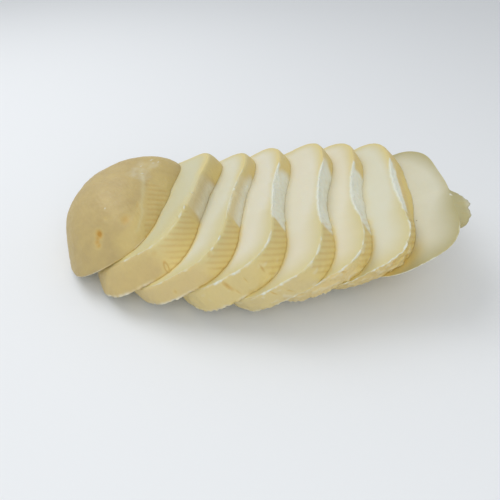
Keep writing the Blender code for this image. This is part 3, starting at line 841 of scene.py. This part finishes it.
def feed(links, value, socket):
    """Links a socket to a value that is a socket too, or else sets it."""
    if isinstance(value, bpy.types.NodeSocket):
        links.new(value, socket)
    else:
        socket.default_value = value


def mix_colour(nodes, links, factor, first, second):
    """Mixes two colours by a factor and gives back the result."""
    mix = nodes.new("ShaderNodeMix")
    mix.data_type = "RGBA"
    for value, socket in ((factor, "Factor"), (first, 6), (second, 7)):
        feed(links, value, mix.inputs[socket])
    return mix.outputs[2]


def calculate(nodes, links, operation, *terms):
    """The result of a math node over sockets and numbers."""
    node = nodes.new("ShaderNodeMath")
    node.operation = operation
    for term, socket in zip(terms, node.inputs):
        feed(links, term, socket)
    return node.outputs["Value"]


def scaled_range(nodes, links, value, from_range, to_range=(0.0, 1.0)):
    """Maps a value from one range to another, held at the ends."""
    node = nodes.new("ShaderNodeMapRange")
    links.new(value, node.inputs["Value"])
    for label, number in zip(("From Min", "From Max", "To Min", "To Max"), (*from_range, *to_range)):
        node.inputs[label].default_value = number
    return node.outputs["Result"]


def object_noise(nodes, links, scale, detail, roughness=0.5):
    """Noise in Object coordinates, which stays with its piece."""
    place = nodes.new("ShaderNodeTexCoord")
    noise = nodes.new("ShaderNodeTexNoise")
    noise.inputs["Detail"].default_value = detail
    noise.inputs["Roughness"].default_value = roughness
    links.new(place.outputs["Object"], noise.inputs["Vector"])
    links.new(scale, noise.inputs["Scale"])
    return noise.outputs["Fac"]


def attribute(nodes, name):
    """The value of one of the mesh's masks."""
    node = nodes.new("ShaderNodeAttribute")
    node.attribute_name = name
    return node.outputs["Fac"]


# %% The shared groups
def new_group(name, inputs, output, kind):
    """A shader group with one output, and inputs that are (name, type, default) each."""
    group = bpy.data.node_groups.new(name, "ShaderNodeTree")
    for label, input_kind, default in inputs:
        socket = group.interface.new_socket(label, in_out="INPUT", socket_type=input_kind)
        socket.default_value = default
    group.interface.new_socket(output, in_out="OUTPUT", socket_type=kind)
    start = group.nodes.new("NodeGroupInput").outputs
    end = group.nodes.new("NodeGroupOutput").inputs[output]
    return group, group.nodes, group.links, start, end


def make_mottle():
    """Slow spots that darken and redden a colour by a small amount."""
    inputs = [("Color", "NodeSocketColor", (1, 1, 1, 1)), ("Spots", "NodeSocketColor", (0, 0, 0, 1)),
              ("Scale", "NodeSocketFloat", 90.0), ("Amount", "NodeSocketFloat", 0.2)]
    group, nodes, links, start, end = new_group("cheese_mottle", inputs, "Color", "NodeSocketColor")
    noise = object_noise(nodes, links, start["Scale"], 4.0, 0.55)
    spots = scaled_range(nodes, links, noise, (0.35, 0.70))
    share = calculate(nodes, links, "MULTIPLY", spots, start["Amount"])
    links.new(mix_colour(nodes, links, share, start["Color"], start["Spots"]), end)
    return group


def make_grain():
    """A fine grain: the mean of two noises."""
    inputs = [("Fine", "NodeSocketFloat", 2600.0), ("Coarse", "NodeSocketFloat", 700.0)]
    group, nodes, links, start, end = new_group("cheese_grain", inputs, "Height", "NodeSocketFloat")
    noises = [object_noise(nodes, links, start[label], 2.0) for label in ("Fine", "Coarse")]
    both = calculate(nodes, links, "ADD", *noises)
    links.new(calculate(nodes, links, "MULTIPLY", both, 0.5), end)
    return group


def place_group(nodes, links, group, values):
    """Places a shared group with its values and gives back its result."""
    node = nodes.new("ShaderNodeGroup")
    node.node_tree = group
    for label, value in values.items():
        feed(links, value, node.inputs[label])
    return node.outputs[0]


MOTTLE = make_mottle()
GRAIN = make_grain()


# %% Rind and paste
CRUMB = colour(219, 221, 206)
GOLD = colour(221, 199, 123)
DEEP = colour(178, 127, 32)
DRY = colour(226, 228, 213)
SPECK_COLOUR = colour(120, 100, 60)
SUBSURFACE_MM = 2.5
SUBSURFACE_SHARES = (1.0, 0.75, 0.45)
# A mask's range that shows, and the strength that it runs through.
CRUMB_RANGE = ((0.10, 0.75), (0.0, 1.0))
GROOVE_RANGE = ((0.15, 1.0), (0.0, 0.22))
MARK_RANGE = ((0.15, 0.9), (0.0, 0.9))
SPECK_RANGE = ((0.2, 0.8), (0.0, 0.8))
GRAIN_RANGE = (0.35, 0.65)
CRUMB_ROUGHNESS = 0.33                # torn cheese doesn't shine


def cheese_material(name, subsurface, mottle, layers, scales, rough_range, bump_strength, bump_mm):
    """Colours laid over a mottled one in turn, crumbs over them, a fine grain and a soft shine.

    A layer is a mask, its colour, and the range of the mask that shows, or None for all of it.
    """
    material = bpy.data.materials.new(name)
    material.use_nodes = True
    nodes, links = material.node_tree.nodes, material.node_tree.links
    shader = nodes["Principled BSDF"]
    shader.inputs["Subsurface Weight"].default_value = subsurface
    shader.inputs["Subsurface Radius"].default_value = SUBSURFACE_SHARES
    shader.inputs["Subsurface Scale"].default_value = SUBSURFACE_MM * MM
    tone = place_group(nodes, links, MOTTLE, mottle)
    for mask, over, ranges in layers:
        factor = attribute(nodes, mask)
        if ranges:
            factor = scaled_range(nodes, links, factor, *ranges)
        tone = mix_colour(nodes, links, factor, tone, over)
    crumb = scaled_range(nodes, links, attribute(nodes, "crumb"), *CRUMB_RANGE)
    links.new(mix_colour(nodes, links, crumb, tone, CRUMB), shader.inputs["Base Color"])
    grain = place_group(nodes, links, GRAIN, scales)
    rough = scaled_range(nodes, links, grain, GRAIN_RANGE, rough_range)
    rough = calculate(nodes, links, "MULTIPLY_ADD", crumb, CRUMB_ROUGHNESS, rough)
    links.new(rough, shader.inputs["Roughness"])
    bump = nodes.new("ShaderNodeBump")
    bump.inputs["Strength"].default_value = bump_strength
    bump.inputs["Distance"].default_value = bump_mm * MM
    links.new(grain, bump.inputs["Height"])
    links.new(bump.outputs["Normal"], shader.inputs["Normal"])
    return material


def rind_material(name, tan, waxy):
    """Tan rind, golden where it bulges, deeper in grooves, dents and the painted crease shade, pale where dry
    or torn.
    """
    mottle = {"Color": tan, "Spots": GOLD, "Scale": 140.0, "Amount": 0.20}
    # The golden layer also carries painted shade and glow along the lower edge, and the crumb layer carries
    # painted highlights on the left heel's crest.
    layers = (("golden", GOLD, None), ("waxy", waxy, None), ("dry", DRY, None),
              ("groove", DEEP, GROOVE_RANGE), ("marks_and_crease_shade", DEEP, MARK_RANGE))
    scales = {"Fine": 2400.0, "Coarse": 620.0}
    return cheese_material(name, 0.12, mottle, layers, scales, (0.42, 0.60), 0.5, 0.25)


def paste_material(name, cream, waxy):
    """Cut paste: cream in the middle, waxy yellow near the rind, white crumbs at the edge, painted golden
    light in the crease.
    """
    mottle = {"Color": cream, "Spots": waxy, "Scale": 60.0, "Amount": 0.12}
    layers = (("waxy", waxy, None), ("golden", GOLD, None), ("marks_and_crease_shade", SPECK_COLOUR, SPECK_RANGE))
    scales = {"Fine": 3200.0, "Coarse": 900.0}
    return cheese_material(name, 0.20, mottle, layers, scales, (0.40, 0.52), 0.25, 0.15)


# %% Each piece's finish
TAN = {1: (183, 161, 108), 2: (195, 172, 116), 3: (206, 184, 129), 4: (209, 190, 132), 5: (205, 187, 134),
       6: (213, 191, 133), 7: (208, 185, 124), 8: (204, 185, 132)}
CREAM = {1: (220, 215, 186), 2: (205, 201, 167), 3: (216, 213, 190), 4: (220, 215, 194), 5: (219, 213, 190),
         6: (221, 214, 189), 7: (215, 212, 189), 8: (211, 207, 183)}
WAXY = {number: (204, 192, 136) for number in range(1, 8)}
WAXY[8] = (172, 163, 114)
PIECES = {1: LEFT_HEEL, 8: RIGHT_HEEL, **SLICES}
NODES = {1: "left_heel", 8: "right_heel", **{number: "slice_%d" % number for number in SLICES}}

for number, piece in sorted(PIECES.items()):
    node = NODES[number]
    waxy = colour(*WAXY[number])
    piece.data.materials.append(rind_material(node + "_rind", colour(*TAN[number]), waxy))
    piece.data.materials.append(paste_material(node + "_paste", colour(*CREAM[number]), waxy))
    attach(piece, "root")
    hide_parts(node)

# %% [markdown]
# The studio: one pale floor that fills the view, one broad soft light from the upper back left,
# a weaker one from the front, and an even pale sky.

# %% Floor and lights
FLOOR_MM = 3000.0
FLOOR_DROP_MM = 0.2
FLOOR_COLOUR = colour(232, 234, 236)
FLOOR_ROUGHNESS = 0.6
SKY_COLOUR = colour(240, 243, 246)
SKY_STRENGTH = 0.67
# Lights: name, place and size in millimetres, power in watts.
LIGHTS = (("key", (-380.0, 260.0, 620.0), 520.0, 2.2), ("fill", (100.0, -560.0, 420.0), 600.0, 1.4))


def make_floor():
    """One large square, a fifth of a millimetre below the cheese: corners at plus and minus its half."""
    half = FLOOR_MM * MM / 2
    low = -FLOOR_DROP_MM * MM
    corners = [(-half, -half, low), (half, -half, low), (half, half, low), (-half, half, low)]
    mesh = bpy.data.meshes.new("floor")
    mesh.from_pydata(corners, [], [(0, 1, 2, 3)])
    floor = bpy.data.objects.new("floor", mesh)
    material = bpy.data.materials.new("floor")
    material.use_nodes = True
    shader = material.node_tree.nodes["Principled BSDF"]
    shader.inputs["Base Color"].default_value = FLOOR_COLOUR
    shader.inputs["Roughness"].default_value = FLOOR_ROUGHNESS
    mesh.materials.append(material)
    bpy.context.scene.collection.objects.link(floor)


def make_light(name, place, size, power):
    """A square area light that faces the middle of the row."""
    data = bpy.data.lights.new(name, "AREA")
    data.size = size * MM
    data.energy = power
    light = bpy.data.objects.new(name, data)
    light.location = Vector(place) * MM
    light.rotation_euler = (-Vector(place)).to_track_quat("-Z", "Y").to_euler()
    bpy.context.scene.collection.objects.link(light)


make_floor()
for light in LIGHTS:
    make_light(*light)
world = bpy.data.worlds.new("studio")
world.use_nodes = True
world.node_tree.nodes["Background"].inputs["Color"].default_value = SKY_COLOUR
world.node_tree.nodes["Background"].inputs["Strength"].default_value = SKY_STRENGTH
bpy.context.scene.world = world
bpy.context.scene.view_settings.view_transform = "Standard"
